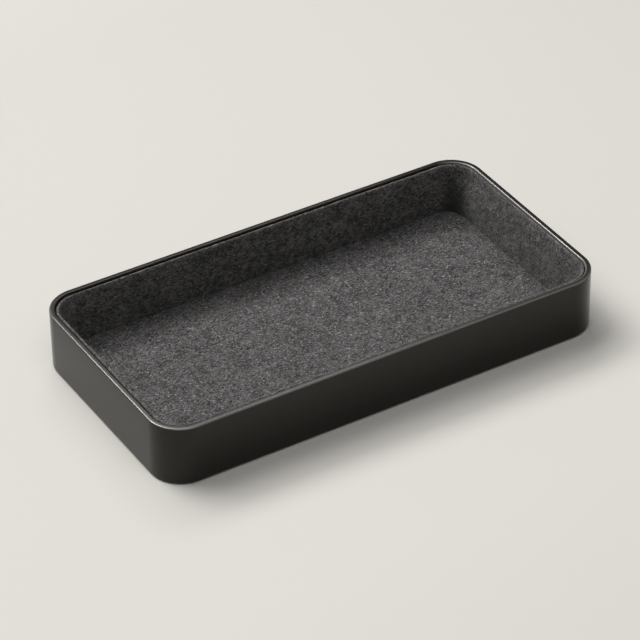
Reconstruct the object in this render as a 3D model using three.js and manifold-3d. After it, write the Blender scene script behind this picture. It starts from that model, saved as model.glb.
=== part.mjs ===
// Desk tray with rounded corners: a thin-walled metal shell on four rubber feet, and a
// liner that drops into it. The liner is a thin formed carrier with a stiff floor board,
// a felt floor panel and one strip of felt round the wall, whose ends meet in a butt seam.
//
// Millimetres, +Z up. The long side runs along X and the front is towards -Y. The origin is
// on the table, under the middle of the tray.

import * as THREE from 'three';
import { mergeVertices } from 'three/addons/utils/BufferGeometryUtils.js';
import Module from 'manifold-3d';

const wasm = await Module();
wasm.setup();

// Shell
const trayLength = 240;
const trayWidth = 125;
const cornerRadius = 17;
const shellHeight = 31.4;
const shellWall = 2.8;
const shellFloor = 1.6;
const rimOuterRound = 0.6;
const rimInnerRound = 0.7;
const baseRound = 1;
const shellCove = 3;

// Feet
const footDiameter = 12;
const footInset = 20;
const footProud = 0.6;
const footRecess = 0.8;
const footRound = 0.3;
const footFit = 0.3;

// Liner carrier
const linerFit = 0.25;
const seatFit = 0.3;
const carrierWall = 0.4;
const carrierDraft = 1.5;
const carrierEndLean = 2.9;
const carrierCove = 1.4;

// Felt and board
const glueLine = 0.1;
const wallFelt = 0.9;
const wallFeltDrop = 0.9;
const carrierEdgeDrop = 0.5;
const wallFeltEdgeRound = 0.3;
const boardThickness = 0.8;
const floorFeltThickness = 1.5;
const floorFeltRound = 0.5;
const panelFit = 0.25;
const seamGap = 0.3;
const seamFromCorner = 1;

// Smoothness of round stretches
const cornerSteps = 12;
const sectionSteps = 2;
const footSteps = 36;

const quarter = Math.PI / 2;
const half = Math.PI;

// A place on the tray's outer edge, seen from above, with its outward normal
function station(x, y, normalX, normalY) {
  return { x, y, normalX, normalY };
}

// The places round one corner, in order against the clock
function cornerStations(signX, signY, startAngle) {
  const centreX = signX * (trayLength / 2 - cornerRadius);
  const centreY = signY * (trayWidth / 2 - cornerRadius);
  const stations = [];
  for (let step = 0; step <= cornerSteps; step += 1) {
    const angle = startAngle + (quarter * step) / cornerSteps;
    const normalX = Math.cos(angle);
    const normalY = Math.sin(angle);
    const x = centreX + cornerRadius * normalX;
    const y = centreY + cornerRadius * normalY;
    stations.push(station(x, y, normalX, normalY));
  }
  return stations;
}

// All the way round, from the back wall past the back left corner
function edgeStations() {
  return [
    ...cornerStations(-1, 1, quarter),
    ...cornerStations(-1, -1, half),
    ...cornerStations(1, -1, half + quarter),
    ...cornerStations(1, 1, 0),
  ];
}

// Points of a section drawn as a path of inset (X) and height (Y), without doubles
function sectionPoints(path) {
  const points = [];
  for (const point of path.getPoints(sectionSteps)) {
    const last = points[points.length - 1];
    if (!last || last.distanceTo(point) > 1e-6) {
      points.push(point);
    }
  }
  return points;
}

// Triangles that fill a flat outline, each against the clock
function flatFaces(outline) {
  return THREE.ShapeUtils.triangulateShape(outline, []).map((face) => {
    const area = THREE.ShapeUtils.area(face.map((index) => outline[index]));
    return area > 0 ? face : [...face].reverse();
  });
}

// The extra inset of the two ends at a height, for a piece whose ends don't lean in
function upright() {
  return 0;
}

// One point for each station and section point, at its inset from the tray's outer edge
function sweptPoints(stations, section, endLean) {
  const points = [];
  for (const place of stations) {
    for (const { x: inset, y: height } of section) {
      const x = place.x - (inset + endLean(height)) * place.normalX;
      const y = place.y - inset * place.normalY;
      points.push(new THREE.Vector3(x, y, height));
    }
  }
  return points;
}

// The faces between neighbouring stations and neighbouring section points. A leaning corner
// is slightly twisted, so every piece splits it the same way: from low and near to high and far.
function sweptSides(spans, section, sectionSpans) {
  const pointIndex = (place, point) => place * section.length + point;
  const faces = [];
  for (const [near, far] of spans) {
    for (const [from, to] of sectionSpans) {
      const corners = [
        pointIndex(near, from),
        pointIndex(far, from),
        pointIndex(far, to),
        pointIndex(near, to),
      ];
      if (section[to].y < section[from].y) {
        corners.push(corners.shift());
      }
      faces.push([corners[0], corners[1], corners[2]]);
      faces.push([corners[0], corners[2], corners[3]]);
    }
  }
  return faces;
}

// Pairs of neighbours in a row of count things, joined at its ends if it is closed
function neighbours(count, closed) {
  const pairs = [];
  for (let index = 0; index + 1 < count; index += 1) {
    pairs.push([index, index + 1]);
  }
  if (closed) {
    pairs.push([count - 1, 0]);
  }
  return pairs;
}

function geometryOf(points, faces) {
  const geometry = new THREE.BufferGeometry();
  geometry.setFromPoints(points);
  geometry.setIndex(faces.flat());
  return geometry;
}

// A solid whose section runs from its underside, out and over its edge, to its top face
function platedSolid(section, endLean) {
  const stations = edgeStations();
  const points = sweptPoints(stations, section, endLean);
  const pointIndex = (place, point) => place * section.length + point;
  const around = neighbours(stations.length, true);
  const faces = sweptSides(around, section, neighbours(section.length, false));
  for (const point of [0, section.length - 1]) {
    const outline = stations.map((_, place) => points[pointIndex(place, point)]);
    for (const face of flatFaces(outline)) {
      const order = point === 0 ? [...face].reverse() : face;
      faces.push(order.map((place) => pointIndex(place, point)));
    }
  }
  return geometryOf(points, faces);
}

// A strip with a closed section that runs round from one side of a seam to the other
function stripSolid(section, stations, endLean) {
  const pointIndex = (place, point) => place * section.length + point;
  const along = neighbours(stations.length, false);
  const faces = sweptSides(along, section, neighbours(section.length, true));
  for (const face of flatFaces(section)) {
    faces.push([...face].reverse().map((point) => pointIndex(0, point)));
    faces.push(face.map((point) => pointIndex(stations.length - 1, point)));
  }
  return geometryOf(sweptPoints(stations, section, endLean), faces);
}

function manifoldOf(source) {
  const bare = source.clone();
  bare.deleteAttribute('normal');
  bare.deleteAttribute('uv');
  const merged = mergeVertices(bare);
  const vertProperties = new Float32Array(merged.attributes.position.array);
  const triVerts = new Uint32Array(merged.index.array);
  return new wasm.Manifold(new wasm.Mesh({ numProp: 3, vertProperties, triVerts }));
}

function geometryFrom(solid) {
  const { vertProperties, triVerts } = solid.getMesh();
  const geometry = new THREE.BufferGeometry();
  geometry.setAttribute('position', new THREE.BufferAttribute(vertProperties, 3));
  geometry.setIndex(new THREE.BufferAttribute(triVerts, 1));
  return geometry;
}

function meshOf(name, geometry, colour, roughness, metalness) {
  const material = new THREE.MeshStandardMaterial({ color: colour, roughness, metalness });
  geometry.computeVertexNormals();
  const mesh = new THREE.Mesh(geometry, material);
  mesh.name = name;
  return mesh;
}

// Middle of each foot, seen from above, with the words of its name
function footPlaces() {
  const x = trayLength / 2 - footInset;
  const y = trayWidth / 2 - footInset;
  return [
    { name: 'foot_front_left', x: -x, y: -y },
    { name: 'foot_front_right', x, y: -y },
    { name: 'foot_back_left', x: -x, y },
    { name: 'foot_back_right', x, y },
  ];
}

// Shell: underside, outer wall, rim, inner wall and inside floor, less a recess for each foot
function outerShell() {
  const rim = shellHeight;
  const section = new THREE.Path();
  section.moveTo(baseRound, 0);
  section.absarc(baseRound, baseRound, baseRound, half + quarter, half, true);
  section.absarc(rimOuterRound, rim - rimOuterRound, rimOuterRound, half, quarter, true);
  section.absarc(shellWall - rimInnerRound, rim - rimInnerRound, rimInnerRound, quarter, 0, true);
  section.absarc(shellWall + shellCove, shellFloor + shellCove, shellCove, half, half + quarter, false);
  let solid = manifoldOf(platedSolid(sectionPoints(section), upright));
  const recessRadius = footDiameter / 2 + footFit;
  for (const place of footPlaces()) {
    const recess = new THREE.CylinderGeometry(recessRadius, recessRadius, 2 * footRecess, footSteps);
    recess.rotateX(quarter);
    recess.translate(place.x, place.y, 0);
    solid = solid.subtract(manifoldOf(recess));
  }
  return meshOf('outer_shell', geometryFrom(solid), 0x2c2b29, 0.38, 0.6);
}

// Foot: a disc bonded into its recess, with its lower edge rounded
function foot(place) {
  const radius = footDiameter / 2;
  const top = footProud + footRecess - glueLine;
  const profile = new THREE.Path();
  profile.moveTo(0, 0);
  profile.lineTo(radius - footRound, 0);
  profile.absarc(radius - footRound, footRound, footRound, -quarter, 0, false);
  profile.lineTo(radius, top);
  profile.lineTo(0, top);
  const geometry = new THREE.LatheGeometry(sectionPoints(profile), footSteps);
  geometry.rotateX(quarter);
  const mesh = meshOf(place.name, geometry, 0x1b1b1b, 0.85, 0);
  mesh.position.set(place.x, place.y, 0);
  return mesh;
}

// Heights inside the liner, from the carrier's underside
const linerDepth = shellHeight - shellFloor - seatFit;
const feltEdgeHeight = linerDepth - wallFeltDrop;
const carrierEdgeHeight = feltEdgeHeight - carrierEdgeDrop;
const boardBottom = carrierWall + glueLine;
const floorFeltBottom = boardBottom + boardThickness + glueLine;
const floorFeltTop = floorFeltBottom + floorFeltThickness;

// The liner's walls lean in towards their foot, by the draft over the carrier's height
function carrierInset(height) {
  const topInset = shellWall + linerFit;
  return topInset + carrierDraft * (1 - height / carrierEdgeHeight);
}

// Its two ends lean in by this much more
function linerEndLean(height) {
  return carrierEndLean * (1 - height / carrierEdgeHeight);
}

// The centre of a rounded foot whose face stands off the carrier's outer face by an offset
function footCentre(offset, radius, bottom) {
  const height = bottom + radius;
  return { inset: carrierInset(height) + offset + radius, height };
}

// Carrier: outside from the underside up, over the edge, and down the inside to its floor
function linerCarrier() {
  const outside = footCentre(0, carrierCove, 0);
  const insideRadius = carrierCove - carrierWall;
  const inside = footCentre(carrierWall, insideRadius, carrierWall);
  const topInset = carrierInset(carrierEdgeHeight);
  const section = new THREE.Path();
  section.moveTo(outside.inset, 0);
  section.absarc(outside.inset, outside.height, carrierCove, half + quarter, half, true);
  section.lineTo(topInset, carrierEdgeHeight);
  section.lineTo(topInset + carrierWall, carrierEdgeHeight);
  section.absarc(inside.inset, inside.height, insideRadius, half, half + quarter, false);
  const geometry = platedSolid(sectionPoints(section), linerEndLean);
  return meshOf('liner_carrier', geometry, 0x191919, 0.6, 0);
}

// Inset of the wall felt's visible face
function feltFaceInset(height) {
  return carrierInset(height) + carrierWall + glueLine + wallFelt;
}

// Wall felt: one strip round the wall, which stands on the carrier's floor
function wallFeltStrip() {
  const backInset = carrierWall + glueLine;
  const backRadius = carrierCove - backInset;
  const back = footCentre(backInset, backRadius, boardBottom);
  const topBack = carrierInset(feltEdgeHeight) + backInset;
  const topFront = feltFaceInset(feltEdgeHeight);
  const edgeRound = wallFeltEdgeRound;
  const edgeCentreHeight = feltEdgeHeight - edgeRound;
  const section = new THREE.Path();
  section.moveTo(feltFaceInset(boardBottom), boardBottom);
  section.lineTo(back.inset, boardBottom);
  section.absarc(back.inset, back.height, backRadius, half + quarter, half, true);
  section.absarc(topBack + edgeRound, edgeCentreHeight, edgeRound, half, quarter, true);
  section.absarc(topFront - edgeRound, edgeCentreHeight, edgeRound, quarter, 0, true);
  const seamX = seamFromCorner + cornerRadius - trayLength / 2;
  const backY = trayWidth / 2;
  const stations = [
    station(seamX - seamGap / 2, backY, 0, 1),
    ...edgeStations(),
    station(seamX + seamGap / 2, backY, 0, 1),
  ];
  const geometry = stripSolid(sectionPoints(section), stations, linerEndLean);
  return meshOf('wall_felt', geometry, 0x3c3b3d, 0.95, 0);
}

// Floor board: a flat stiff sheet between the feet of the wall felt
function floorBoard() {
  const inset = feltFaceInset(boardBottom) + panelFit;
  const section = new THREE.Path();
  section.moveTo(inset, boardBottom);
  section.lineTo(inset, boardBottom + boardThickness);
  const geometry = platedSolid(sectionPoints(section), linerEndLean);
  return meshOf('floor_board', geometry, 0x6a6259, 0.9, 0);
}

// Floor felt: a panel on the board, with its upper edge softly rounded
function floorFelt() {
  const inset = feltFaceInset(floorFeltBottom) + panelFit;
  const roundHeight = floorFeltTop - floorFeltRound;
  const section = new THREE.Path();
  section.moveTo(inset, floorFeltBottom);
  section.lineTo(inset, roundHeight);
  section.absarc(inset + floorFeltRound, roundHeight, floorFeltRound, half, quarter, true);
  const geometry = platedSolid(sectionPoints(section), linerEndLean);
  return meshOf('floor_felt', geometry, 0x454447, 0.95, 0);
}

const shell = new THREE.Group();
shell.position.z = footProud;
shell.add(outerShell());

const liner = new THREE.Group();
liner.position.z = footProud + shellFloor + seatFit;
liner.add(linerCarrier(), floorBoard(), floorFelt(), wallFeltStrip());

const tray = new THREE.Group();
tray.add(shell, ...footPlaces().map(foot), liner);

export default tray;
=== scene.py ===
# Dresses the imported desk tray: a satin dark metal shell with fine rounded rims, four rubber
# feet, and a drop-in liner of heathered charcoal felt on a thin moulded carrier.
# Metres, +Z up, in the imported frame.

import math

import bmesh
import bpy
import numpy as np
from mathutils import Matrix, Vector


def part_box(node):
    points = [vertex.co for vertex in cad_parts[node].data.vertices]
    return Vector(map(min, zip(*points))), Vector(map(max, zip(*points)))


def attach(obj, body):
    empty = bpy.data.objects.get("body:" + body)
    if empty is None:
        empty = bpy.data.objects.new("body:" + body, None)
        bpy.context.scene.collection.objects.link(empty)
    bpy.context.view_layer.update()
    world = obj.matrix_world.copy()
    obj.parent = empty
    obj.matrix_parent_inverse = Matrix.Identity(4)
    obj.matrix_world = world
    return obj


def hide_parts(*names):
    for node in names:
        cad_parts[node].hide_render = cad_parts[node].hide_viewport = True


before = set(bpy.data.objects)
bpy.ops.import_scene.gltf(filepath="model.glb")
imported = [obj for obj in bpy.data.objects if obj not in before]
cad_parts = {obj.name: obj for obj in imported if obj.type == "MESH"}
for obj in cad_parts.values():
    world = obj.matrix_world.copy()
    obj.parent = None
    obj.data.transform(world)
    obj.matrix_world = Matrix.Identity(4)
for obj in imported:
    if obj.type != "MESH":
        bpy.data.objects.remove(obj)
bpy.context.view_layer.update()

MM = 0.001
QUARTER_TURN = math.pi / 2
HALF_TURN = math.pi
FULL_TURN = 2 * math.pi


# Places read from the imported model

shell_low, shell_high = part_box("outer_shell")
carrier_low, carrier_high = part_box("liner_carrier")
wall_low, wall_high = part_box("wall_felt")
board_low, board_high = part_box("floor_board")
panel_low, panel_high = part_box("floor_felt")
tray_length = shell_high.x - shell_low.x
tray_width = shell_high.y - shell_low.y
rim_height = shell_high.z


# Sizes of the real object that the boxes don't give

corner_radius = 17 * MM
shell_wall = 2.8 * MM
shell_floor = 1.6 * MM
rim_outer_round = 0.6 * MM
rim_inner_round = 0.7 * MM
base_round = 1 * MM
shell_cove = 3 * MM
foot_recess = 0.8 * MM
foot_fit = 0.3 * MM
foot_round = 0.3 * MM
carrier_wall = 0.4 * MM
carrier_draft = 1.5 * MM
carrier_end_lean = 2.9 * MM
carrier_cove = 1.4 * MM
carrier_edge_round = 0.12 * MM
glue_line = 0.1 * MM
felt_thickness = 0.9 * MM
felt_edge_round = 0.3 * MM
felt_edge_rise = 0.22 * MM
panel_round = 0.5 * MM
board_round = 0.05 * MM
seam_gap = 0.06 * MM
seam_from_corner = 1 * MM

liner_base = carrier_low.z
carrier_height = carrier_high.z - carrier_low.z
carrier_top_inset = (tray_width - (carrier_high.y - carrier_low.y)) / 2


# Bare metal on the rims, partly wear and partly painted highlight on the edges where highlights fall, as
# shares of fully bare metal and of the way along a fillet

wear_and_highlight_front_outside = 0.58
wear_and_highlight_front_inside = 0.95
wear_and_highlight_on_flat = 0.25
left_wear_and_highlight_from = 0.4
right_wear_and_highlight_from = 0.2


# Unevenness of the felt, where it is brushed paler, and the painted shade that colours it darker at the
# wall's foot, in the two back bends and along the floor's border

wall_relief_strength = 2.0
wall_relief_seed = 11
floor_relief_seed = 31
cut_edge_freedom = 0.6
relief_fade = 2 * MM
nap_start = 14 * MM
nap_end = 30 * MM
painted_shade_at_foot = 0.45
painted_shade_at_far_bends = 0.7
far_bends_at_top = 0.35
painted_shade_at_border = 0.25
border_width = 11 * MM


# Fineness of the meshes

shell_corner_steps = 40
shell_spacing = 6 * MM
carrier_corner_steps = 32
felt_corner_steps = 30
felt_spacing = 0.56 * MM
panel_corner_steps = 25
panel_edge_steps = 4
board_spacing = 4 * MM
rim_steps = 8
cove_steps = 6
thin_edge_steps = 3
recess_steps = 48
foot_steps = 64
foot_round_steps = 6

# How far a swept section runs on over a flat, and down the wall from the rim
flat_run = 2 * MM
rim_band = 4 * MM


# Paths round the tray

def corner_places(sign_x, sign_y, start, steps):
    """Points and outward normals of one corner of the tray's outer edge, against the clock."""
    angles = start + QUARTER_TURN * np.arange(steps + 1) / steps
    normals = np.stack([np.cos(angles), np.sin(angles)], axis=1)
    centre = np.array([
        sign_x * (tray_length / 2 - corner_radius),
        sign_y * (tray_width / 2 - corner_radius),
    ])
    return centre + corner_radius * normals, normals


def edge_places(steps):
    """The four corners in order, from the back wall past the back left corner."""
    corners = [
        corner_places(-1, 1, QUARTER_TURN, steps),
        corner_places(-1, -1, HALF_TURN, steps),
        corner_places(1, -1, HALF_TURN + QUARTER_TURN, steps),
        corner_places(1, 1, 0, steps),
    ]
    points = np.concatenate([points for points, _ in corners])
    normals = np.concatenate([normals for _, normals in corners])
    return points, normals


def filled_places(points, normals, spacing, closed):
    """The same places with more between them wherever they stand further apart than a spacing."""
    if closed:
        points = np.concatenate([points, points[:1]])
        normals = np.concatenate([normals, normals[:1]])
    all_points = [points[0]]
    all_normals = [normals[0]]
    for start, end, start_normal, end_normal in zip(points, points[1:], normals, normals[1:]):
        steps = max(1, round(np.linalg.norm(end - start) / spacing))
        for step in range(1, steps + 1):
            share = step / steps
            all_points.append(start + (end - start) * share)
            all_normals.append(start_normal + (end_normal - start_normal) * share)
    if closed:
        all_points.pop()
        all_normals.pop()
    return np.array(all_points), np.array(all_normals)


def arc(centre_inset, centre_height, radius, start, end, steps=cove_steps):
    """Section points of an arc, as inset from the tray's outer edge and height."""
    angles = np.linspace(start, end, steps + 1)
    insets = centre_inset + radius * np.cos(angles)
    heights = centre_height + radius * np.sin(angles)
    return [(inset, height) for inset, height in zip(insets, heights)]


def without_doubles(section):
    """The section with points that lie on their neighbour left out."""
    closest = 1e-7
    kept = [section[0]]
    for point in section[1:]:
        if math.dist(point, kept[-1]) > closest:
            kept.append(point)
    return kept


def upright(height):
    """No lean at any height, for a sweep whose ends stand straight."""
    return 0 * height


def liner_end_lean(height):
    """How much further in the liner's two ends stand at a height above the table."""
    return carrier_end_lean * (1 - (height - liner_base) / carrier_height)


def carrier_inset(height):
    """Inset of the carrier's outer face at a height above the table."""
    return carrier_top_inset + carrier_draft * (1 - (height - liner_base) / carrier_height)


def felt_face_inset(height):
    """Inset of the wall felt's face at a height above the table."""
    return carrier_inset(height) + carrier_wall + glue_line + felt_thickness


def swept_points(points, normals, section, end_lean):
    """One point for each place and section point, place by place, with the two ends leaned in."""
    section = np.array(section)
    insets = section[:, 0]
    heights = section[:, 1]
    lean = end_lean(heights)
    x = points[:, None, 0] - (insets + lean)[None, :] * normals[:, None, 0]
    y = points[:, None, 1] - insets[None, :] * normals[:, None, 1]
    z = np.broadcast_to(heights, x.shape)
    return np.stack([x, y, z], axis=2)


# Meshes

def placed(data, name, body, material):
    """An object of some mesh data, on a body and with a slot's finish."""
    piece = bpy.data.objects.new(name, data)
    bpy.context.scene.collection.objects.link(piece)
    data.materials.append(material)
    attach(piece, body)
    return piece


def new_piece(name, points, faces, body, material):
    """An object from points and faces, shaded smooth."""
    data = bpy.data.meshes.new(name)
    data.from_pydata([tuple(point) for point in points], [], faces)
    data.validate()
    data.update()
    for polygon in data.polygons:
        polygon.use_smooth = True
    return placed(data, name, body, material)


def piece_from(mesh, name, body, material):
    """An object from a bmesh, which it frees."""
    data = bpy.data.meshes.new(name)
    mesh.to_mesh(data)
    mesh.free()
    return placed(data, name, body, material)


def grid_faces(rows, columns, close_columns):
    """Faces of a grid of points kept row by row, whose columns may close into a ring."""
    last_column = columns if close_columns else columns - 1
    faces = []
    for row in range(rows - 1):
        near = row * columns
        far = near + columns
        for column in range(last_column):
            after = (column + 1) % columns
            faces.append((near + column, far + column, far + after, near + after))
    return faces


def swept_mesh(grid):
    """A new bmesh of a sweep that closes on itself, and its corners, place by place."""
    mesh = bmesh.new()
    rows = [[mesh.verts.new(point) for point in row] for row in grid]
    for near, far in zip(rows, rows[1:] + rows[:1]):
        for step in range(len(near) - 1):
            mesh.faces.new((near[step], far[step], far[step + 1], near[step + 1]))
    return mesh, rows


def new_ring(mesh, centre, radius, height, steps):
    """A level ring of new corners in a bmesh, against the clock."""
    ring = []
    for step in range(steps):
        angle = FULL_TURN * step / steps
        x = centre[0] + radius * math.cos(angle)
        y = centre[1] + radius * math.sin(angle)
        ring.append(mesh.verts.new((x, y, height)))
    return ring


def fill_flat(mesh, outline, holes):
    """Fills a flat outline of corners around its holes."""
    edges = []
    for loop in [outline, *holes]:
        for start, end in zip(loop, loop[1:] + loop[:1]):
            edge = mesh.edges.get((start, end)) or mesh.edges.new((start, end))
            edges.append(edge)
    bmesh.ops.triangle_fill(mesh, use_beauty=True, use_dissolve=False, edges=edges)


def sharpen(piece, degrees):
    """Smooth shading that breaks where faces meet more sharply than an angle."""
    bpy.context.view_layer.objects.active = piece
    piece.select_set(True)
    bpy.ops.object.shade_smooth_by_angle(angle=math.radians(degrees))
    piece.select_set(False)


def mark_points(piece, name, values):
    """Keeps one value for each point of a mesh, for its material to read."""
    attribute = piece.data.attributes.new(name, "FLOAT", "POINT")
    attribute.data.foreach_set("value", np.asarray(values, np.float32))


# Noise made in code, for shapes

def eased(share):
    """A share from 0 to 1 that sets off and arrives gently."""
    return share * share * (3 - 2 * share)


def smooth_noise(across, along, size, seed):
    """Even noise from -1 to 1 with lumps of about the given size, at places in metres."""
    cells = 64
    table = np.random.default_rng(seed).uniform(-1, 1, (cells, cells))
    u = across / size
    v = along / size
    column = np.floor(u).astype(int)
    row = np.floor(v).astype(int)
    part_u = eased(u - column)
    part_v = eased(v - row)
    next_column = (column + 1) % cells
    next_row = (row + 1) % cells
    column = column % cells
    row = row % cells
    low = table[row, column] * (1 - part_u) + table[row, next_column] * part_u
    high = table[next_row, column] * (1 - part_u) + table[next_row, next_column] * part_u
    return low * (1 - part_v) + high * part_v


def felt_relief(across, along, seed):
    """Height of a felt surface: soft clouds, lumps of matted wool and fine tufts."""
    clouds = 0.08 * MM * smooth_noise(across, along, 8 * MM, seed)
    lumps = 0.07 * MM * smooth_noise(across, along, 2.7 * MM, seed + 1)
    tufts = 0.06 * MM * smooth_noise(across, along, 1.3 * MM, seed + 2)
    return clouds + lumps + tufts


# Parts of materials

# A Mix node has sockets of the same name for each kind of value; these are the colour ones
MIX_FIRST = 6
MIX_SECOND = 7
MIX_RESULT = 2

# The range that most of a noise pattern's values lie in
NOISE_LOW = 0.3
NOISE_HIGH = 0.7


def new_material(name, roughness):
    """A material with its shader and a place in metres for its patterns.

    roughness is its plain value, which a pattern may replace.
    """
    material = bpy.data.materials.new(name)
    material.use_nodes = True
    nodes = material.node_tree.nodes
    shader = nodes["Principled BSDF"]
    shader.inputs["Roughness"].default_value = roughness
    place = nodes.new("ShaderNodeTexCoord").outputs["Object"]
    return material, shader, place


def node_of(material, kind, **settings):
    """A new node of a kind, with its settings."""
    node = material.node_tree.nodes.new(kind)
    for name, value in settings.items():
        setattr(node, name, value)
    return node


def feed(material, source, target):
    """Sets a socket to a number or colour, or links it to another socket."""
    if isinstance(source, bpy.types.NodeSocket):
        material.node_tree.links.new(source, target)
    else:
        target.default_value = source


def noise(material, place, size, detail=2.0, roughness=0.5, stretch=None):
    """Noise with features of about size metres; stretch turns it and squeezes it along X, Y and Z."""
    if stretch:
        turned = node_of(material, "ShaderNodeMapping")
        turned.inputs["Rotation"].default_value = stretch["turn"]
        turned.inputs["Scale"].default_value = stretch["scale"]
        feed(material, place, turned.inputs["Vector"])
        place = turned.outputs["Vector"]
    texture = node_of(material, "ShaderNodeTexNoise")
    texture.inputs["Scale"].default_value = 1 / size
    texture.inputs["Detail"].default_value = detail
    texture.inputs["Roughness"].default_value = roughness
    feed(material, place, texture.inputs["Vector"])
    return texture.outputs["Fac"]


def ranged(material, value, low, high, to_low=0.0, to_high=1.0):
    """Maps low to high onto to_low to to_high, held inside them."""
    node = node_of(material, "ShaderNodeMapRange")
    feed(material, value, node.inputs["Value"])
    node.inputs["From Min"].default_value = low
    node.inputs["From Max"].default_value = high
    node.inputs["To Min"].default_value = to_low
    node.inputs["To Max"].default_value = to_high
    return node.outputs["Result"]


def spread(material, pattern, to_low=0.0, to_high=1.0):
    """Maps a noise pattern's usual range onto to_low to to_high."""
    return ranged(material, pattern, NOISE_LOW, NOISE_HIGH, to_low, to_high)


def combine(material, operation, first, second):
    """Two numbers added, multiplied or compared."""
    node = node_of(material, "ShaderNodeMath", operation=operation)
    feed(material, first, node.inputs[0])
    feed(material, second, node.inputs[1])
    return node.outputs[0]


def blended(material, share, first, second):
    """A colour between two, by share."""
    node = node_of(material, "ShaderNodeMix", data_type="RGBA")
    feed(material, share, node.inputs["Factor"])
    feed(material, first, node.inputs[MIX_FIRST])
    feed(material, second, node.inputs[MIX_SECOND])
    return node.outputs[MIX_RESULT]


def tinted(material, colour, tint):
    """A colour multiplied by another."""
    node = node_of(material, "ShaderNodeMix", data_type="RGBA", blend_type="MULTIPLY")
    node.inputs["Factor"].default_value = 1.0
    feed(material, colour, node.inputs[MIX_FIRST])
    feed(material, tint, node.inputs[MIX_SECOND])
    return node.outputs[MIX_RESULT]


def brightened(material, colour, factor):
    """A colour multiplied by a number."""
    node = node_of(material, "ShaderNodeVectorMath", operation="SCALE")
    feed(material, colour, node.inputs[0])
    feed(material, factor, node.inputs["Scale"])
    return node.outputs[0]


def bent_place(material, place, size, reach):
    """The place moved about by up to a reach, so that patterns on it bend; size is that of a bend."""
    warp = node_of(material, "ShaderNodeTexNoise")
    warp.inputs["Scale"].default_value = 1 / size
    warp.inputs["Detail"].default_value = 2.0
    feed(material, place, warp.inputs["Vector"])
    moved = node_of(material, "ShaderNodeVectorMath", operation="MULTIPLY_ADD")
    feed(material, warp.outputs["Color"], moved.inputs[0])
    feed(material, (reach, reach, reach), moved.inputs[1])
    feed(material, place, moved.inputs[2])
    return moved.outputs[0]


def bumped(material, shader, height, distance):
    """Bends the light as if the surface rose by up to a distance where height is greatest."""
    node = node_of(material, "ShaderNodeBump")
    node.inputs["Distance"].default_value = distance
    feed(material, height, node.inputs["Height"])
    feed(material, node.outputs["Normal"], shader.inputs["Normal"])


def read_mark(material, name):
    """A value kept for each point of the mesh."""
    node = node_of(material, "ShaderNodeAttribute", attribute_name=name)
    return node.outputs["Fac"]


# Materials

def satin_metal():
    """Dark satin coat on blasted metal, with bare metal that shines through on its fine edges where
    highlights fall, partly wear and partly painted highlight.
    """
    deep_coat = (0.0150, 0.0122, 0.0094, 1)
    thin_coat = (0.0180, 0.0148, 0.0116, 1)
    bare_metal = (0.72, 0.70, 0.67, 1)
    material, shader, place = new_material("satin_dark_metal", 0.24)
    drift = noise(material, place, 60 * MM, detail=3.0)
    grain = noise(material, place, 0.35 * MM, detail=2.0, roughness=0.6)
    rubs = noise(material, place, 14 * MM, detail=3.0, roughness=0.6)
    edge = read_mark(material, "edge")
    # Bare metal on the marked edges, partly wear and partly painted highlight where the light falls
    bare = combine(material, "MULTIPLY", edge, spread(material, rubs, 0.36, 0.42))
    coat = blended(material, spread(material, drift), deep_coat, thin_coat)
    feed(material, blended(material, bare, coat, bare_metal), shader.inputs["Base Color"])
    feed(material, bare, shader.inputs["Metallic"])
    rough = combine(
        material,
        "ADD",
        spread(material, drift, 0.18, 0.22),
        spread(material, grain, -0.02, 0.02),
    )
    polish = combine(material, "MULTIPLY", edge, 0.04)
    feed(material, combine(material, "SUBTRACT", rough, polish), shader.inputs["Roughness"])
    shader.inputs["Specular IOR Level"].default_value = 0.25
    bumped(material, shader, grain, 0.006 * MM)
    return material


def fibre_directions():
    """Turns and squeezes that make noise into streaks of lying fibres, in five directions."""
    turns = [(0.3, 0.2, 0.1), (0.1, -0.4, 0.8), (-0.3, 0.5, 1.4), (0.2, -0.2, 2.1), (0.5, 0.1, 2.7)]
    lengthwise = 0.42
    return [{"turn": turn, "scale": (lengthwise, 1.0, 1.0)} for turn in turns]


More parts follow.
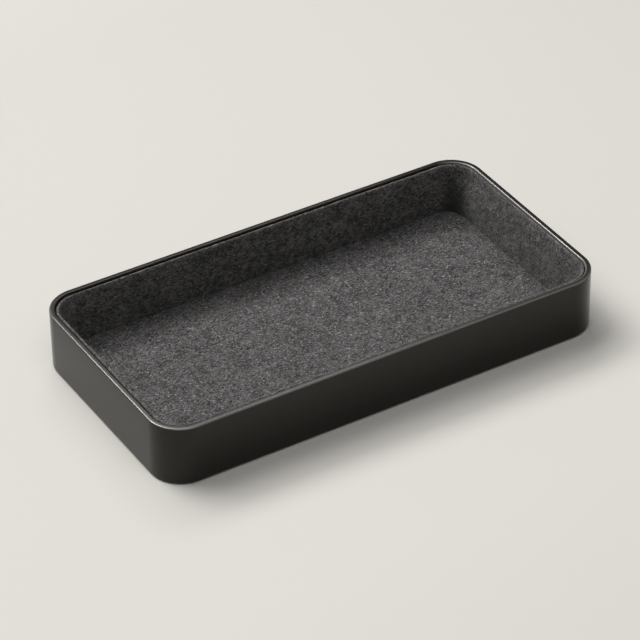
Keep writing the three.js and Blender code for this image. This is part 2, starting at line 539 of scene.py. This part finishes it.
def felt(name, coarse, mottle, dark, middle, light, fleck):
    """Heathered wool felt: matted fibres from dark to pale that cross each other, with clouds.

    coarse widens its fine grain, and mottle strengthens its larger patches.
    """
    cool_tint = (1.0, 1.012, 0.96, 1)
    warm_tint = (1.01, 0.992, 1.012, 1)
    material, shader, place = new_material(name, 0.95)
    bent = bent_place(material, place, size=2.4 * MM, reach=1.6 * MM)
    streaks = [
        noise(material, bent, 0.6 * MM * coarse, detail=1.5, roughness=0.6, stretch=way)
        for way in fibre_directions()
    ]
    pale = streaks[0]
    for streak in streaks[1:3]:
        pale = combine(material, "MAXIMUM", pale, streak)
    deep = combine(material, "MINIMUM", streaks[3], streaks[4])
    wool = noise(material, place, 0.8 * MM * coarse, detail=2.0, roughness=0.65)
    tufts = noise(material, bent, 3.6 * MM, detail=2.0, roughness=0.6)
    clouds = noise(material, place, 10 * MM, detail=3.0, roughness=0.6)
    colour = blended(material, ranged(material, wool, 0.38, 0.62), dark, middle)

    # Each layer: its pattern, where in the pattern it starts and is full, its strength and colour
    layers = [
        (tufts, 0.42, 0.62, 0.42 * mottle, light),
        (clouds, 0.38, 0.66, 0.35 * mottle, light),
        (pale, 0.59, 0.66, 0.85, light),
        (pale, 0.67, 0.74, 0.9, fleck),
        (deep, 0.45, 0.36, 0.95, dark),
    ]
    for pattern, start, full, strength, layer_colour in layers:
        share = ranged(material, pattern, start, full, 0.0, strength)
        colour = blended(material, share, colour, layer_colour)
    brushed = combine(material, "MULTIPLY", read_mark(material, "nap"), 0.34)
    colour = blended(material, brushed, colour, light)
    # Painted shade: blended towards the dark wool where the mesh is marked, at the wall's foot, in its
    # back bends and near the floor panel's border
    colour = blended(material, read_mark(material, "painted_shade"), colour, dark)
    patches = noise(material, place, 6 * MM, detail=3.0, roughness=0.6)
    swing = 0.2 * (mottle - 1)
    factor = ranged(material, patches, 0.36, 0.64, 1 - swing, 1 + swing)
    hue = ranged(material, noise(material, place, 5 * MM), 0.42, 0.58)
    tint = blended(material, hue, cool_tint, warm_tint)
    colour = tinted(material, brightened(material, colour, factor), tint)
    feed(material, colour, shader.inputs["Base Color"])
    shader.inputs["Sheen Weight"].default_value = 0.12
    shader.inputs["Sheen Roughness"].default_value = 0.6
    shader.inputs["Specular IOR Level"].default_value = 0.15
    height = combine(material, "ADD", pale, combine(material, "MULTIPLY", wool, 1.2))
    bumped(material, shader, height, 0.22 * MM * coarse)
    return material


def loose_fibre(name, dark, light):
    """Single wool fibres, each of its own shade."""
    material, shader, place = new_material(name, 0.8)
    uneven = spread(material, noise(material, place, 1.5 * MM), -0.15, 0.15)
    share = combine(material, "ADD", read_mark(material, "shade"), uneven)
    colour = blended(material, ranged(material, share, 0, 1), dark, light)
    feed(material, colour, shader.inputs["Base Color"])
    shader.inputs["Specular IOR Level"].default_value = 0.2
    return material


def moulded_plastic():
    """Thin black formed sheet with a fine leathered texture."""
    deep_black = (0.010, 0.010, 0.0105, 1)
    soft_black = (0.015, 0.015, 0.0155, 1)
    material, shader, place = new_material("formed_black_plastic", 0.55)
    grain = noise(material, place, 0.5 * MM, detail=3.0, roughness=0.6)
    drift = noise(material, place, 40 * MM)
    colour = blended(material, spread(material, drift), deep_black, soft_black)
    feed(material, colour, shader.inputs["Base Color"])
    feed(material, spread(material, grain, 0.5, 0.62), shader.inputs["Roughness"])
    bumped(material, shader, grain, 0.05 * MM)
    return material


def grey_board():
    """Pressed grey board with paper fibre flecks."""
    dark_pulp = (0.10, 0.088, 0.075, 1)
    pale_pulp = (0.19, 0.17, 0.15, 1)
    material, shader, place = new_material("pressed_grey_board", 0.9)
    lengthwise = {"turn": (0, 0, 0.4), "scale": (0.3, 1, 1)}
    flecks = noise(material, place, 0.5 * MM, detail=3.0, roughness=0.7, stretch=lengthwise)
    colour = blended(material, spread(material, flecks), dark_pulp, pale_pulp)
    feed(material, colour, shader.inputs["Base Color"])
    bumped(material, shader, flecks, 0.04 * MM)
    return material


def foot_rubber():
    """Matt black rubber with a little dust on it."""
    clean_rubber = (0.008, 0.008, 0.008, 1)
    dusty_rubber = (0.028, 0.027, 0.026, 1)
    material, shader, place = new_material("matt_black_rubber", 0.85)
    dust = noise(material, place, 1.5 * MM, detail=4.0, roughness=0.65)
    colour = blended(material, ranged(material, dust, 0.4, 0.8), clean_rubber, dusty_rubber)
    feed(material, colour, shader.inputs["Base Color"])
    bumped(material, shader, noise(material, place, 0.3 * MM), 0.03 * MM)
    return material


# Shell

def foot_centres():
    """Middle of each foot, by its node's name, seen from above."""
    centres = {}
    for node in ("foot_front_left", "foot_front_right", "foot_back_left", "foot_back_right"):
        low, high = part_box(node)
        centres[node] = ((low.x + high.x) / 2, (low.y + high.y) / 2)
    return centres


def rim_fillets():
    """The rim's outer fillet and its inner one; its flat top runs from one to the other."""
    outer = rim_outer_round
    inner = rim_inner_round
    outer_fillet = arc(outer, rim_height - outer, outer, HALF_TURN, QUARTER_TURN, rim_steps)
    inner_fillet = arc(shell_wall - inner, rim_height - inner, inner, QUARTER_TURN, 0, rim_steps)
    return outer_fillet, inner_fillet


def shell_section():
    """From the underside's edge out, up, over the rim, down inside and onto the inside floor.

    Gives the points and, for each, how far it is along the rim's outer and its inner fillet.
    """
    base = shell_low.z
    inside = base + shell_floor
    outer_fillet, inner_fillet = rim_fillets()
    three_quarters = HALF_TURN + QUARTER_TURN
    section = without_doubles([
        (base_round + flat_run, base),
        *arc(base_round, base + base_round, base_round, three_quarters, HALF_TURN),
        (0, rim_height - rim_band),
        *outer_fillet,
        *inner_fillet,
        (shell_wall, rim_height - rim_band),
        *arc(shell_wall + shell_cove, inside + shell_cove, shell_cove, HALF_TURN, three_quarters),
        (shell_wall + shell_cove + flat_run, inside),
    ])
    fillets = [(share_along(outer_fillet, point), share_along(inner_fillet, point)) for point in section]
    return section, fillets


def share_along(fillet, point):
    """How far along a fillet a point is, from 0 at its start to 1; 0 for a point outside it."""
    if point not in fillet:
        return 0.0
    return fillet.index(point) / (len(fillet) - 1)


def bare_for_wear_and_highlight(normal, outer, inner):
    """How bare the rim is, partly wear and partly painted highlight: bare outside on its near and left
    edges and inside on its near and right ones, where highlights fall.

    outer and inner tell how far along the two fillets the point is.
    """
    leftward = max(0.0, -normal[0])
    rightward = max(0.0, normal[0])
    forward = max(0.0, -normal[1])
    if outer > 0:
        bare = wear_and_highlight_front_outside * forward + (leftward if outer > left_wear_and_highlight_from else 0.0)
        fade = wear_and_highlight_on_flat if outer == 1 else 1.0
        return fade * min(1.0, bare)
    if inner > 0:
        return min(1.0, wear_and_highlight_front_inside * forward + (rightward if inner > right_wear_and_highlight_from else 0.0))
    return 0.0


def build_shell(material):
    """The metal shell: a swept wall, a flat inside floor, and an underside with the feet's recesses."""
    section, fillets = shell_section()
    points, normals = filled_places(*edge_places(shell_corner_steps), shell_spacing, True)
    mesh, rows = swept_mesh(swept_points(points, normals, section, upright))
    fill_flat(mesh, [row[-1] for row in rows], [])
    recess_mouths = [build_recess(mesh, centre) for centre in foot_centres().values()]
    fill_flat(mesh, [row[0] for row in rows], recess_mouths)
    mesh.verts.index_update()
    # Bare metal where highlights fall, partly wear and partly painted highlight
    bare_by_point = {}
    for row, normal in zip(rows, normals):
        for vert, (outer, inner) in zip(row, fillets):
            bare_by_point[vert.index] = bare_for_wear_and_highlight(normal, outer, inner)
    marks = [bare_by_point.get(vert.index, 0.0) for vert in mesh.verts]
    bmesh.ops.recalc_face_normals(mesh, faces=mesh.faces)
    piece = piece_from(mesh, "tray_shell", "shell", material)
    mark_points(piece, "edge", marks)
    sharpen(piece, degrees=35)
    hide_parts("outer_shell")


def build_recess(mesh, centre):
    """A round recess in the underside: its wall and flat end. Returns the ring at its mouth."""
    foot_low, foot_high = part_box("foot_front_left")
    radius = (foot_high.x - foot_low.x) / 2 + foot_fit
    mouth = new_ring(mesh, centre, radius, shell_low.z, recess_steps)
    end = new_ring(mesh, centre, radius, shell_low.z + foot_recess, recess_steps)
    for step in range(recess_steps):
        after = (step + 1) % recess_steps
        mesh.faces.new((mouth[step], mouth[after], end[after], end[step]))
    mesh.faces.new(end)
    return mouth


# Feet

def build_foot(node, centre, material):
    """A rubber disc with a rounded lower edge, turned round its own axis."""
    low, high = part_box(node)
    radius = (high.x - low.x) / 2
    contact_ring = 0.6 * radius
    profile = [(contact_ring, low.z)]
    profile += [
        (radius - foot_round + foot_round * math.sin(angle), low.z + foot_round * (1 - math.cos(angle)))
        for angle in np.linspace(0, QUARTER_TURN, foot_round_steps + 1)
    ]
    profile.append((radius, high.z))
    mesh = bmesh.new()
    bottom = mesh.verts.new((centre[0], centre[1], low.z))
    top = mesh.verts.new((centre[0], centre[1], high.z))
    rings = [new_ring(mesh, centre, ring_radius, height, foot_steps) for ring_radius, height in profile]
    for step in range(foot_steps):
        after = (step + 1) % foot_steps
        mesh.faces.new((bottom, rings[0][after], rings[0][step]))
        mesh.faces.new((top, rings[-1][step], rings[-1][after]))
        for lower, upper in zip(rings, rings[1:]):
            mesh.faces.new((lower[step], lower[after], upper[after], upper[step]))
    piece = piece_from(mesh, node + "_rubber", "shell", material)
    sharpen(piece, degrees=50)
    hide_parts(node)


# Liner

def rounded_foot(offset, radius, bottom):
    """Centre of a rounded foot whose face stands off the carrier's outer face by an offset."""
    height = bottom + radius
    return carrier_inset(height) + offset + radius, height


def thin_edge(outer_inset, inner_inset, top, radius):
    """Section points over a thin upper edge that is rounded on both sides."""
    return [
        *arc(outer_inset + radius, top - radius, radius, HALF_TURN, QUARTER_TURN, thin_edge_steps),
        *arc(inner_inset - radius, top - radius, radius, QUARTER_TURN, 0, thin_edge_steps),
    ]


def build_carrier(material):
    """A thin formed tray, with its trimmed top edge slightly rounded."""
    outside = rounded_foot(0, carrier_cove, liner_base)
    inner_radius = carrier_cove - carrier_wall
    inside = rounded_foot(carrier_wall, inner_radius, liner_base + carrier_wall)
    top = carrier_high.z
    top_inset = carrier_inset(top)
    section = without_doubles([
        (outside[0] + flat_run, liner_base),
        *arc(*outside, carrier_cove, HALF_TURN + QUARTER_TURN, HALF_TURN),
        *thin_edge(top_inset, top_inset + carrier_wall, top, carrier_edge_round),
        *arc(*inside, inner_radius, HALF_TURN, HALF_TURN + QUARTER_TURN),
        (inside[0] + flat_run, liner_base + carrier_wall),
    ])
    points, normals = edge_places(carrier_corner_steps)
    mesh, rows = swept_mesh(swept_points(points, normals, section, liner_end_lean))
    fill_flat(mesh, [row[0] for row in rows], [])
    fill_flat(mesh, [row[-1] for row in rows], [])
    bmesh.ops.recalc_face_normals(mesh, faces=mesh.faces)
    piece = piece_from(mesh, "liner_tray", "liner", material)
    sharpen(piece, degrees=40)
    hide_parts("liner_carrier")


def strip_places(spacing):
    """Places all along the wall felt, from one side of its seam round to the other."""
    seam_x = seam_from_corner + corner_radius - tray_length / 2
    back = tray_width / 2
    corner_points, corner_normals = edge_places(felt_corner_steps)
    points = np.concatenate([
        [(seam_x - seam_gap / 2, back)], corner_points, [(seam_x + seam_gap / 2, back)],
    ])
    normals = np.concatenate([[(0.0, 1.0)], corner_normals, [(0.0, 1.0)]])
    return filled_places(points, normals, spacing, False)


def felt_strip_section():
    """Closed section of the wall felt, and for each point how free its surface is to be uneven."""
    bottom = wall_low.z
    top = wall_high.z
    offset = carrier_wall + glue_line
    foot_radius = carrier_cove - offset
    foot = rounded_foot(offset, foot_radius, bottom)
    section = without_doubles([
        (felt_face_inset(bottom), bottom),
        *arc(*foot, foot_radius, HALF_TURN + QUARTER_TURN, HALF_TURN, thin_edge_steps),
        *thin_edge(carrier_inset(top) + offset, felt_face_inset(top), top, felt_edge_round),
    ])

    # A little below where the rounding starts, so that its first and last points count
    edge_bottom = top - 1.01 * felt_edge_round
    freedom = [cut_edge_freedom if height > edge_bottom else 0.0 for _, height in section]
    face_top = top - felt_edge_round
    rows = round((face_top - bottom) / felt_spacing)
    for row in range(1, rows):
        height = face_top + (bottom - face_top) * row / rows
        section.append((felt_face_inset(height), height))
        freedom.append(1.0)
    return section, freedom


def build_wall_felt(material):
    """The strip of felt round the liner's wall. Returns it with its flat length and height."""
    points, normals = strip_places(felt_spacing)
    section, freedom = felt_strip_section()
    grid = swept_points(points, normals, section, liner_end_lean)
    along = np.concatenate([[0], np.cumsum(np.linalg.norm(np.diff(points, axis=0), axis=1))])
    insets, heights = np.array(section).T
    freedom = np.array(freedom)

    # The relief's place up the section runs on over the cut edge, where the height hardly changes
    inset_weight = 3
    travel = heights - inset_weight * (insets - insets[-1])
    places = np.meshgrid(along, travel, indexing="ij")
    relief = wall_relief_strength * felt_relief(*places, wall_relief_seed) * freedom
    on_face = np.where(freedom == 1, 1.0, 0.0)
    on_cut_edge = np.where(freedom == cut_edge_freedom, 1.0, 0.0)
    grid[:, :, 0] -= relief * on_face * normals[:, None, 0]
    grid[:, :, 1] -= relief * on_face * normals[:, None, 1]
    grid[:, :, 2] += relief * on_cut_edge + felt_edge_rise * on_cut_edge
    rows, columns = grid.shape[:2]
    faces = grid_faces(rows, columns, True)
    faces.append(tuple(range(columns))[::-1])
    faces.append(tuple((rows - 1) * columns + column for column in range(columns)))
    piece = new_piece("felt_wall", grid.reshape(-1, 3), faces, "liner", material)
    nap = np.clip((nap_end - along) / (nap_end - nap_start), 0, 1)
    mark_points(piece, "nap", np.repeat(nap, columns))
    # Painted shade: the felt is coloured darker towards the foot of the wall and in the two bends at the
    # back, where shade falls
    depth = np.clip((wall_high.z - heights) / (wall_high.z - wall_low.z), 0, 1)

    # 1 in the middle of the two bends at the back, and 0 on the straights and at the front
    far_bend = 2 * abs(normals[:, :1]) * np.clip(normals[:, 1:], 0, 1)
    bend_depth = far_bends_at_top + (1 - far_bends_at_top) * depth
    painted_shade = painted_shade_at_foot * depth + painted_shade_at_far_bends * far_bend * bend_depth
    mark_points(piece, "painted_shade", painted_shade.reshape(-1))
    sharpen(piece, degrees=60)
    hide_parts("wall_felt")
    return piece, (float(along[-1]), wall_high.z - wall_low.z)


def panel_rows(inset, spacing):
    """For each row of the floor panel: its place across the tray and its half length."""
    centre_x = tray_length / 2 - corner_radius
    centre_y = tray_width / 2 - corner_radius
    reach_x = panel_high.x - centre_x
    reach_y = panel_high.y - centre_y
    turns = np.linspace(0, QUARTER_TURN, panel_corner_steps + 1)
    straight = np.linspace(-centre_y, centre_y, round(2 * centre_y / spacing) + 1)
    rows = [(-centre_y, -turn) for turn in turns[:0:-1]]
    rows += [(y, 0.0) for y in straight]
    rows += [(centre_y, turn) for turn in turns[1:]]
    across = [y + (reach_y - inset) * math.sin(turn) for y, turn in rows]
    half_lengths = [centre_x + (reach_x - inset) * math.cos(turn) for _, turn in rows]
    return np.array(across), np.array(half_lengths)


def panel_grid(inset, spacing):
    """A grid of points over a panel with rounded corners, whose border rows keep its outline."""
    across, half_lengths = panel_rows(inset, spacing)
    columns = round(2 * panel_high.x / spacing) + 1
    shares = np.linspace(-1, 1, columns)
    x = half_lengths[:, None] * shares[None, :]
    y = np.broadcast_to(across[:, None], x.shape)
    return x, y


def border(values):
    """The border of a grid in order, against the clock, starting at its lowest corner."""
    return np.concatenate([values[0, :-1], values[:-1, -1], values[-1, :0:-1], values[:0:-1, 0]])


def build_panel(name, low, high, edge_round, relief_seed, spacing, material):
    """A flat panel with rounded corners and a rounded top edge; one with a relief seed is uneven."""
    top_x, top_y = panel_grid(edge_round, spacing)
    relief = felt_relief(top_x, top_y, relief_seed) if relief_seed else 0 * top_x
    fade = np.minimum(1, (panel_high.y - np.abs(top_y)) / relief_fade)
    top_points = np.stack([top_x, top_y, high + relief * fade], axis=2).reshape(-1, 3)
    points = [top_points]
    faces = [face[::-1] for face in grid_faces(*top_x.shape, False)]
    rim = border(np.arange(len(top_points)).reshape(top_x.shape))
    next_number = len(top_points)
    levels = [
        (edge_round * (1 - math.cos(angle)), high - edge_round * (1 - math.sin(angle)))
        for angle in np.linspace(QUARTER_TURN, 0, panel_edge_steps + 1)[1:]
    ]
    levels.append((0.0, low))
    for inset, height in levels:
        ring_x, ring_y = panel_grid(inset, spacing)
        points.append(np.stack([border(ring_x), border(ring_y), np.full(len(rim), height)], axis=1))
        ring = next_number + np.arange(len(rim))
        next_number += len(rim)
        corners = np.stack([rim, ring, np.roll(ring, -1), np.roll(rim, -1)], axis=1)
        faces += [tuple(face) for face in corners.tolist()]
        rim = ring
    faces.append(tuple(rim[::-1].tolist()))
    points = np.concatenate(points)
    piece = new_piece(name, points, faces, "liner", material)
    # Painted shade for the felt: coloured darker towards the border, next to the walls that shade the
    # floor
    from_border = np.minimum(panel_high.x - np.abs(points[:, 0]), panel_high.y - np.abs(points[:, 1]))
    mark_points(piece, "painted_shade", painted_shade_at_border * np.clip(1 - from_border / border_width, 0, 1))
    sharpen(piece, degrees=60)
    return piece


# Loose fibres

def strands(name, roots, directions, lengths, radii, bow, shades, material):
    """Thin three-sided strands that taper to their ends; bow is how each one's middle is moved."""
    segments = 3
    sides = 3
    taper = 0.85
    random = np.random.default_rng(len(roots))
    side = np.cross(directions, random.normal(size=directions.shape))
    side /= np.linalg.norm(side, axis=1)[:, None]
    other = np.cross(directions, side)
    points = []
    for share in np.linspace(0, 1, segments + 1):
        lift = 4 * share * (1 - share)
        centre = roots + directions * (lengths * share)[:, None] + bow * lift
        thickness = radii * (1 - taper * abs(2 * share - 1))
        for turn in range(sides):
            angle = FULL_TURN * turn / sides
            outward = side * math.cos(angle) + other * math.sin(angle)
            points.append(centre + outward * thickness[:, None])
    points = np.stack(points, axis=1).reshape(-1, 3)
    size = sides * (segments + 1)
    faces = []
    for first in range(0, len(points), size):
        for segment in range(segments):
            near = first + segment * sides
            far = near + sides
            for turn in range(sides):
                after = (turn + 1) % sides
                faces.append((near + turn, near + after, far + after, far + turn))
        faces.append((first + 2, first + 1, first))
        last = first + size - sides
        faces.append((last, last + 1, last + 2))
    piece = new_piece(name, points, faces, "liner", material)
    mark_points(piece, "shade", np.repeat(shades, size))
    return piece


def build_floor_fibres(material):
    """Loose fibres that lie every way on the felt floor."""
    scattered = 4200
    margin = 3 * MM
    corner = 14 * MM
    corner_margin = 2 * MM
    above_felt = 0.03 * MM
    random = np.random.default_rng(5)
    reach_x = panel_high.x - margin
    reach_y = panel_high.y - margin
    x = random.uniform(-reach_x, reach_x, scattered)
    y = random.uniform(-reach_y, reach_y, scattered)
    past_x = np.maximum(np.abs(x) - (reach_x - corner), 0)
    past_y = np.maximum(np.abs(y) - (reach_y - corner), 0)
    inside = np.hypot(past_x, past_y) < corner - corner_margin
    x = x[inside]
    y = y[inside]
    count = len(x)
    turn = random.uniform(0, FULL_TURN, count)
    directions = np.stack([np.cos(turn), np.sin(turn), np.zeros(count)], axis=1)
    lengths = random.uniform(1.5 * MM, 4 * MM, count)
    radii = random.uniform(0.04 * MM, 0.08 * MM, count)
    middles = np.stack([x, y, np.full(count, panel_high.z + above_felt)], axis=1)
    roots = middles - directions * (lengths / 2)[:, None]
    sideways = np.stack([-directions[:, 1], directions[:, 0], np.zeros(count)], axis=1)
    bow = sideways * (random.uniform(-0.25, 0.25, count) * lengths)[:, None]
    bow[:, 2] = random.uniform(0.02 * MM, 0.16 * MM, count)

    # More dark ones than pale ones
    shades = random.uniform(0, 1, count) ** 1.5
    return strands("felt_floor_fibres", roots, directions, lengths, radii, bow, shades, material)


def build_edge_fibres(material):
    """Short fibres on the cut upper edge of the wall felt, and longer ones that lie below it."""
    place_spacing = 0.29 * MM
    fibres_for_each_place = 4
    lying_share = 0.6
    above_edge = 0.1 * MM
    off_face = 0.03 * MM
    random = np.random.default_rng(6)
    points, normals = strip_places(place_spacing)
    count = fibres_for_each_place * len(points)
    place = random.integers(0, len(points), count)
    point = points[place]
    normal = normals[place]
    lying = random.uniform(0, 1, count) < lying_share

    # Most of the lying ones start close under the edge, and the lowest 2.3 mm below it
    drop = random.uniform(0, 1.7, count) ** 1.6 * MM
    height = np.where(lying, wall_high.z - drop, wall_high.z + above_edge)
    across = felt_thickness * random.uniform(0.05, 0.85, count)
    inset = felt_face_inset(height) + np.where(lying, off_face, -across)
    x = point[:, 0] - (inset + liner_end_lean(height)) * normal[:, 0]
    y = point[:, 1] - inset * normal[:, 1]
    along = np.stack([-normal[:, 1], normal[:, 0]], axis=1)
    lean = np.where(lying, random.uniform(0, 0.15, count), random.uniform(-0.3, 0.4, count))
    rise = np.where(lying, random.uniform(-0.8, 0.5, count), random.uniform(0.15, 0.7, count))
    flat = along * random.normal(0, 0.8, count)[:, None] - normal * lean[:, None]
    directions = np.concatenate([flat, rise[:, None]], axis=1)
    directions /= np.linalg.norm(directions, axis=1)[:, None]
    roots = np.stack([x, y, height], axis=1)
    lengths = np.where(lying, random.uniform(0.6, 2, count), random.uniform(0.3, 0.8, count)) * MM
    radii = random.uniform(0.03 * MM, 0.065 * MM, count)
    bow = np.concatenate([-normal * 0.06 * MM, np.full((count, 1), 0.03 * MM)], axis=1)
    shades = random.uniform(0.35, 1, count)
    return strands("felt_edge_fibres", roots, directions, lengths, radii, bow, shades, material)


# Camera, floor and light

def build_camera():
    """The photograph's viewpoint, found from the tray's outline and its size."""
    azimuth = math.radians(-30.894)
    elevation = math.radians(35.897)
    roll = math.radians(-0.794)
    distance = 1.685272
    target = Vector((8.08 * MM, 15.75 * MM, 0))
    focal_pixels = 3482.5
    image_pixels = 640
    back = Vector((
        math.sin(azimuth) * math.cos(elevation),
        -math.cos(azimuth) * math.cos(elevation),
        math.sin(elevation),
    ))
    level = Vector((math.cos(azimuth), math.sin(azimuth), 0))
    upward = back.cross(level)
    right = level * math.cos(roll) + upward * math.sin(roll)
    up = upward * math.cos(roll) - level * math.sin(roll)
    data = bpy.data.cameras.new("camera")
    data.sensor_width = 36
    data.lens = focal_pixels / image_pixels * data.sensor_width
    data.clip_start = 0.01
    data.clip_end = 50
    camera = bpy.data.objects.new("camera", data)
    bpy.context.scene.collection.objects.link(camera)
    turn = Matrix((right, up, back)).transposed().to_4x4()
    camera.matrix_world = Matrix.Translation(target + back * distance) @ turn
    bpy.context.scene.camera = camera


def build_floor():
    """A plain pale table top that runs out of sight, with painted shade that makes it a little darker
    behind the tray, where the lamps behind it light it more.
    """
    reach = 6.0
    near_paint = (0.755, 0.730, 0.684, 1)
    far_paint = (0.648, 0.627, 0.588, 1)
    near_y = -0.15
    far_y = 0.3
    mesh = bmesh.new()
    corners = [(-reach, -reach), (reach, -reach), (reach, reach), (-reach, reach)]
    mesh.faces.new([mesh.verts.new((x, y, 0)) for x, y in corners])
    data = bpy.data.meshes.new("table_top")
    mesh.to_mesh(data)
    mesh.free()
    table = bpy.data.objects.new("table_top", data)
    bpy.context.scene.collection.objects.link(table)
    material, shader, place = new_material("pale_table", 0.9)
    axes = node_of(material, "ShaderNodeSeparateXYZ")
    feed(material, place, axes.inputs[0])
    # Painted shade: darker further back, to even out the stronger light there from the lamps behind the
    # tray
    farther = ranged(material, axes.outputs["Y"], near_y, far_y)
    feed(material, blended(material, farther, near_paint, far_paint), shader.inputs["Base Color"])
    shader.inputs["Specular IOR Level"].default_value = 0.1
    data.materials.append(material)


def area_light(name, towards, distance, width, height, energy):
    """A rectangular light that faces the middle of the tray from a direction."""
    towards = Vector(towards).normalized()
    data = bpy.data.lights.new(name, "AREA")
    data.shape = "RECTANGLE"
    data.size = width
    data.size_y = height
    data.energy = energy
    light = bpy.data.objects.new(name, data)
    bpy.context.scene.collection.objects.link(light)
    light.location = towards * distance
    light.rotation_mode = "QUATERNION"
    light.rotation_quaternion = towards.to_track_quat("Z", "Y")


def build_light():
    """A broad soft light and a small near one behind the tray, a weak one in front, and a dim room."""
    room_strength = 0.13
    area_light("key", (-0.30, 0.44, 0.85), distance=3.6, width=2.3, height=2.3, energy=79)
    area_light("fill", (-0.10, -0.40, 0.88), distance=3.0, width=2.2, height=2.2, energy=21)
    area_light("window", (-0.06, 0.77, 0.96), distance=1.2, width=1.4, height=0.35, energy=6.4)
    world = bpy.data.worlds.new("room")
    world.use_nodes = True
    background = world.node_tree.nodes["Background"]
    background.inputs["Color"].default_value = (1, 1, 1, 1)
    background.inputs["Strength"].default_value = room_strength
    bpy.context.scene.world = world


# The scene, piece by piece

bpy.context.scene.view_settings.view_transform = "Standard"
build_camera()
build_floor()
build_light()

metal = satin_metal()
floor_wool = felt(
    "charcoal_floor_felt",
    coarse=1.0,
    mottle=1.0,
    dark=(0.012, 0.0114, 0.0113, 1),
    middle=(0.073, 0.0697, 0.0697, 1),
    light=(0.189, 0.1805, 0.1815, 1),
    fleck=(0.490, 0.471, 0.471, 1),
)
wall_wool = felt(
    "charcoal_wall_felt",
    coarse=1.5,
    mottle=1.9,
    dark=(0.025, 0.0243, 0.0231, 1),
    middle=(0.079, 0.0766, 0.0722, 1),
    light=(0.186, 0.1802, 0.1710, 1),
    fleck=(0.360, 0.348, 0.332, 1),
)
fibre_wool = loose_fibre(
    "charcoal_loose_fibre", dark=(0.02, 0.019, 0.019, 1), light=(0.50, 0.48, 0.48, 1)
)
build_shell(metal)
rubber = foot_rubber()
for foot_node, foot_centre in foot_centres().items():
    build_foot(foot_node, foot_centre, rubber)
build_carrier(moulded_plastic())
board = build_panel(
    "stiff_board",
    low=board_low.z,
    high=board_high.z,
    edge_round=board_round,
    relief_seed=None,
    spacing=board_spacing,
    material=grey_board(),
)
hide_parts("floor_board")
floor_felt = build_panel(
    "felt_floor",
    low=panel_low.z,
    high=panel_high.z,
    edge_round=panel_round,
    relief_seed=floor_relief_seed,
    spacing=felt_spacing,
    material=floor_wool,
)
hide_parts("floor_felt")
wall_felt_piece, wall_felt_flat = build_wall_felt(wall_wool)
floor_fibres = build_floor_fibres(fibre_wool)
edge_fibres = build_edge_fibres(fibre_wool)
